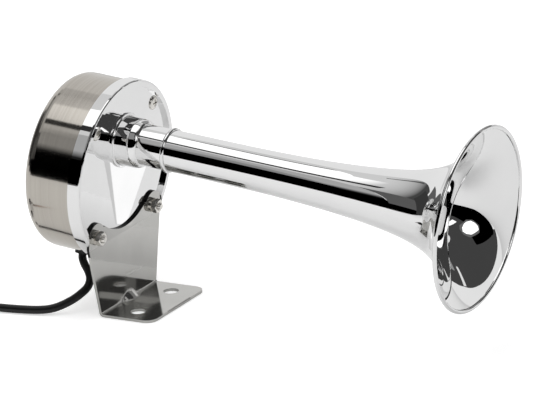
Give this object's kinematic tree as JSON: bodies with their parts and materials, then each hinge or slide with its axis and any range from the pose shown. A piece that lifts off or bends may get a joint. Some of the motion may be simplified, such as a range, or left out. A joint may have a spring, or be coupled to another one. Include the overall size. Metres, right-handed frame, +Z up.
{
  "type": "electric trumpet horn",
  "caption": "Electric diaphragm horn for a boat: round drum with magnet and contact breaker, offset flared trumpet, bent sheet foot bracket and a cable.",
  "frame": {"origin": "midway between the foot's holes, on the underside of the foot", "axes": "+X towards the trumpet's mouth, +Z up from the surface the foot stands on"},
  "size_m": [0.3606, 0.1523, 0.1252],
  "materials": {
    "satin_steel": "satin stainless sheet",
    "polished_steel": "polished stainless pressing",
    "brushed_cover": "fine brushed stainless",
    "chrome": "mirror chrome on spun brass",
    "plated_fasteners": "bright stainless",
    "gasket_rubber": "matt black rubber",
    "spring_steel": "cold rolled spring steel",
    "painted_steel": "black paint",
    "soft_iron": "oiled soft iron",
    "bobbin_plastic": "natural nylon",
    "copper": "enamelled and bare copper",
    "brass": "machined brass",
    "spring_brass": "rolled spring bronze",
    "insulator": "phenolic board",
    "contact_metal": "tungsten",
    "wire_insulation": "coloured insulation",
    "cable_sheath": "smooth black sheath",
    "tie_nylon": "natural nylon"
  },
  "bodies": {
    "horn": {"bracket": "satin_steel", "front_housing": "polished_steel", "rear_cover": "brushed_cover", "front_gasket": "gasket_rubber", "rear_gasket": "gasket_rubber", "diaphragm": "spring_steel", "magnet_bowl": "painted_steel", "magnet_yoke": "soft_iron", "pole_core": "soft_iron", "core_nut": "plated_fasteners", "coil_bobbin": "bobbin_plastic", "coil_winding": "copper", "solder_tags": "brass", "contact_block": "insulator", "contact_blade": "spring_brass", "blade_spacer": "insulator", "fixed_arm": "brass", "clamp_cap": "insulator", "clamp_screws": "plated_fasteners", "fixed_point": "contact_metal", "tuning_locknut": "plated_fasteners", "cover_screw": "plated_fasteners", "housing_bolts": "plated_fasteners", "bracket_bolts": "plated_fasteners", "bolt_washers": "plated_fasteners", "bolt_nuts": "plated_fasteners", "neck": "chrome", "joint_ring": "chrome", "trumpet": "chrome", "cable_grommet": "gasket_rubber", "inner_wires": "wire_insulation", "cable": "cable_sheath", "cable_coil": "cable_sheath", "coil_tie": "tie_nylon", "cable_tail": "cable_sheath", "lead_ends": "wire_insulation", "bare_ends": "copper"},
    "armature": {"armature": "soft_iron", "armature_rivet": "plated_fasteners", "push_pin": "insulator"},
    "breaker_point": {"moving_point": "contact_metal"},
    "tuner": {"tuning_screw": "brass"}
  },
  "joints": [
    {"name": "armature_pull", "type": "slide", "parent": "horn", "child": "armature", "axis": [0.9954, 0, -0.0958], "range_m": [-0.0005, 0], "stiffness_N_per_m": 20000, "deforming": ["diaphragm"]},
    {"name": "contact_break", "type": "slide", "parent": "horn", "child": "breaker_point", "axis": [0.9954, 0, -0.0958], "range_m": [-0.00025, 0], "deforming": ["contact_blade"]},
    {"name": "tuning_screw_turn", "type": "hinge", "parent": "horn", "child": "tuner", "pos_m": [-0.042, 0.0246, 0.07745], "axis": [0.9954, 0, -0.0958], "range_deg": [-180, 180]}
  ],
  "couplings": [
    {"joint": "contact_break", "follows": "armature_pull", "ratio": 0.5}
  ]
}
